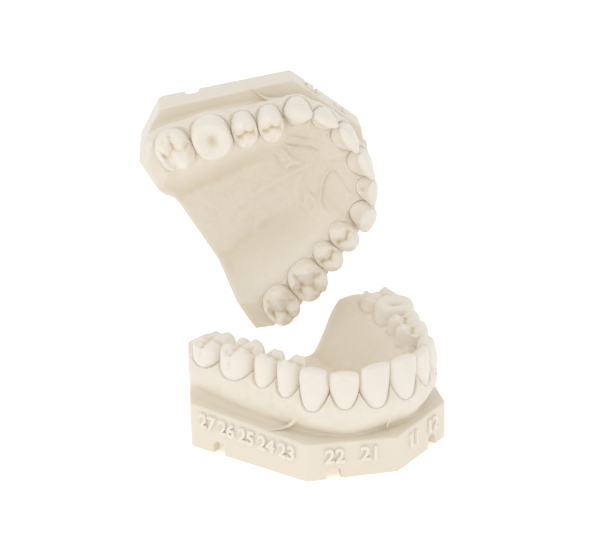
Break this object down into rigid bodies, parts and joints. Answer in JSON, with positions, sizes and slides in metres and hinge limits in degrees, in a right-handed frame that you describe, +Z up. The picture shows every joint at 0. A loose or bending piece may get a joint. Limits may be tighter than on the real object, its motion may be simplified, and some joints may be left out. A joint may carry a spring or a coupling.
{
  "type": "typodont model",
  "caption": "Pair of upper-jaw practice casts with push-fit teeth in a gum and palate piece on a hollow notched base; one stands, one is held raised to show its biting side.",
  "frame": {"origin": "on the surface the lower cast stands on, under the middle of the pair's bounding box", "axes": "+Z up; -Y towards the front teeth of the standing cast; +X towards the wearer's right on the standing cast"},
  "size_m": [0.0746, 0.0968, 0.0861],
  "materials": {
    "base_resin": "matte ivory casting resin",
    "gum_resin": "matte ivory casting resin with a soft sheen",
    "tooth_resin": "smooth satin ivory resin"
  },
  "bodies": {
    "standing_cast": {"standing_base": "base_resin", "standing_gum_and_palate": "gum_resin"},
    "raised_cast": {"raised_base": "base_resin", "raised_gum_and_palate": "gum_resin"},
    "standing_tooth_11": {"standing_tooth_11": "tooth_resin"},
    "standing_tooth_12": {"standing_tooth_12": "tooth_resin"},
    "standing_tooth_13": {"standing_tooth_13": "tooth_resin"},
    "standing_tooth_14": {"standing_tooth_14": "tooth_resin"},
    "standing_tooth_15": {"standing_tooth_15": "tooth_resin"},
    "standing_tooth_16": {"standing_tooth_16": "tooth_resin"},
    "standing_tooth_17": {"standing_tooth_17": "tooth_resin"},
    "standing_tooth_21": {"standing_tooth_21": "tooth_resin"},
    "standing_tooth_22": {"standing_tooth_22": "tooth_resin"},
    "standing_tooth_23": {"standing_tooth_23": "tooth_resin"},
    "standing_tooth_24": {"standing_tooth_24": "tooth_resin"},
    "standing_tooth_25": {"standing_tooth_25": "tooth_resin"},
    "standing_tooth_26": {"standing_tooth_26": "tooth_resin"},
    "standing_tooth_27": {"standing_tooth_27": "tooth_resin"},
    "raised_tooth_11": {"raised_tooth_11": "tooth_resin"},
    "raised_tooth_12": {"raised_tooth_12": "tooth_resin"},
    "raised_tooth_13": {"raised_tooth_13": "tooth_resin"},
    "raised_tooth_14": {"raised_tooth_14": "tooth_resin"},
    "raised_tooth_15": {"raised_tooth_15": "tooth_resin"},
    "raised_tooth_16": {"raised_tooth_16": "tooth_resin"},
    "raised_tooth_17": {"raised_tooth_17": "tooth_resin"},
    "raised_tooth_21": {"raised_tooth_21": "tooth_resin"},
    "raised_tooth_22": {"raised_tooth_22": "tooth_resin"},
    "raised_tooth_23": {"raised_tooth_23": "tooth_resin"},
    "raised_tooth_24": {"raised_tooth_24": "tooth_resin"},
    "raised_tooth_25": {"raised_tooth_25": "tooth_resin"},
    "raised_tooth_26": {"raised_tooth_26": "tooth_resin"},
    "raised_tooth_27": {"raised_tooth_27": "tooth_resin"}
  },
  "joints": [
    {"name": "raised_cast_lift", "type": "slide", "parent": "standing_cast", "child": "raised_cast", "axis": [0, 0, 1], "range_m": [0, 0.03]},
    {"name": "standing_tooth_11_pull", "type": "slide", "parent": "standing_cast", "child": "standing_tooth_11", "axis": [0, 0, 1], "range_m": [0, 0.006]},
    {"name": "standing_tooth_12_pull", "type": "slide", "parent": "standing_cast", "child": "standing_tooth_12", "axis": [0, 0, 1], "range_m": [0, 0.006]},
    {"name": "standing_tooth_13_pull", "type": "slide", "parent": "standing_cast", "child": "standing_tooth_13", "axis": [0, 0, 1], "range_m": [0, 0.006]},
    {"name": "standing_tooth_14_pull", "type": "slide", "parent": "standing_cast", "child": "standing_tooth_14", "axis": [0, 0, 1], "range_m": [0, 0.006]},
    {"name": "standing_tooth_15_pull", "type": "slide", "parent": "standing_cast", "child": "standing_tooth_15", "axis": [0, 0, 1], "range_m": [0, 0.006]},
    {"name": "standing_tooth_16_pull", "type": "slide", "parent": "standing_cast", "child": "standing_tooth_16", "axis": [0, 0, 1], "range_m": [0, 0.006]},
    {"name": "standing_tooth_17_pull", "type": "slide", "parent": "standing_cast", "child": "standing_tooth_17", "axis": [0, 0, 1], "range_m": [0, 0.006]},
    {"name": "standing_tooth_21_pull", "type": "slide", "parent": "standing_cast", "child": "standing_tooth_21", "axis": [0, 0, 1], "range_m": [0, 0.006]},
    {"name": "standing_tooth_22_pull", "type": "slide", "parent": "standing_cast", "child": "standing_tooth_22", "axis": [0, 0, 1], "range_m": [0, 0.006]},
    {"name": "standing_tooth_23_pull", "type": "slide", "parent": "standing_cast", "child": "standing_tooth_23", "axis": [0, 0, 1], "range_m": [0, 0.006]},
    {"name": "standing_tooth_24_pull", "type": "slide", "parent": "standing_cast", "child": "standing_tooth_24", "axis": [0, 0, 1], "range_m": [0, 0.006]},
    {"name": "standing_tooth_25_pull", "type": "slide", "parent": "standing_cast", "child": "standing_tooth_25", "axis": [0, 0, 1], "range_m": [0, 0.006]},
    {"name": "standing_tooth_26_pull", "type": "slide", "parent": "standing_cast", "child": "standing_tooth_26", "axis": [0, 0, 1], "range_m": [0, 0.006]},
    {"name": "standing_tooth_27_pull", "type": "slide", "parent": "standing_cast", "child": "standing_tooth_27", "axis": [0, 0, 1], "range_m": [0, 0.006]},
    {"name": "raised_tooth_11_pull", "type": "slide", "parent": "raised_cast", "child": "raised_tooth_11", "axis": [-0.4837, -0.8751, -0.0156], "range_m": [0, 0.006]},
    {"name": "raised_tooth_12_pull", "type": "slide", "parent": "raised_cast", "child": "raised_tooth_12", "axis": [-0.4837, -0.8751, -0.0156], "range_m": [0, 0.006]},
    {"name": "raised_tooth_13_pull", "type": "slide", "parent": "raised_cast", "child": "raised_tooth_13", "axis": [-0.4837, -0.8751, -0.0156], "range_m": [0, 0.006]},
    {"name": "raised_tooth_14_pull", "type": "slide", "parent": "raised_cast", "child": "raised_tooth_14", "axis": [-0.4837, -0.8751, -0.0156], "range_m": [0, 0.006]},
    {"name": "raised_tooth_15_pull", "type": "slide", "parent": "raised_cast", "child": "raised_tooth_15", "axis": [-0.4837, -0.8751, -0.0156], "range_m": [0, 0.006]},
    {"name": "raised_tooth_16_pull", "type": "slide", "parent": "raised_cast", "child": "raised_tooth_16", "axis": [-0.4837, -0.8751, -0.0156], "range_m": [0, 0.006]},
    {"name": "raised_tooth_17_pull", "type": "slide", "parent": "raised_cast", "child": "raised_tooth_17", "axis": [-0.4837, -0.8751, -0.0156], "range_m": [0, 0.006]},
    {"name": "raised_tooth_21_pull", "type": "slide", "parent": "raised_cast", "child": "raised_tooth_21", "axis": [-0.4837, -0.8751, -0.0156], "range_m": [0, 0.006]},
    {"name": "raised_tooth_22_pull", "type": "slide", "parent": "raised_cast", "child": "raised_tooth_22", "axis": [-0.4837, -0.8751, -0.0156], "range_m": [0, 0.006]},
    {"name": "raised_tooth_23_pull", "type": "slide", "parent": "raised_cast", "child": "raised_tooth_23", "axis": [-0.4837, -0.8751, -0.0156], "range_m": [0, 0.006]},
    {"name": "raised_tooth_24_pull", "type": "slide", "parent": "raised_cast", "child": "raised_tooth_24", "axis": [-0.4837, -0.8751, -0.0156], "range_m": [0, 0.006]},
    {"name": "raised_tooth_25_pull", "type": "slide", "parent": "raised_cast", "child": "raised_tooth_25", "axis": [-0.4837, -0.8751, -0.0156], "range_m": [0, 0.006]},
    {"name": "raised_tooth_26_pull", "type": "slide", "parent": "raised_cast", "child": "raised_tooth_26", "axis": [-0.4837, -0.8751, -0.0156], "range_m": [0, 0.006]},
    {"name": "raised_tooth_27_pull", "type": "slide", "parent": "raised_cast", "child": "raised_tooth_27", "axis": [-0.4837, -0.8751, -0.0156], "range_m": [0, 0.006]}
  ]
}
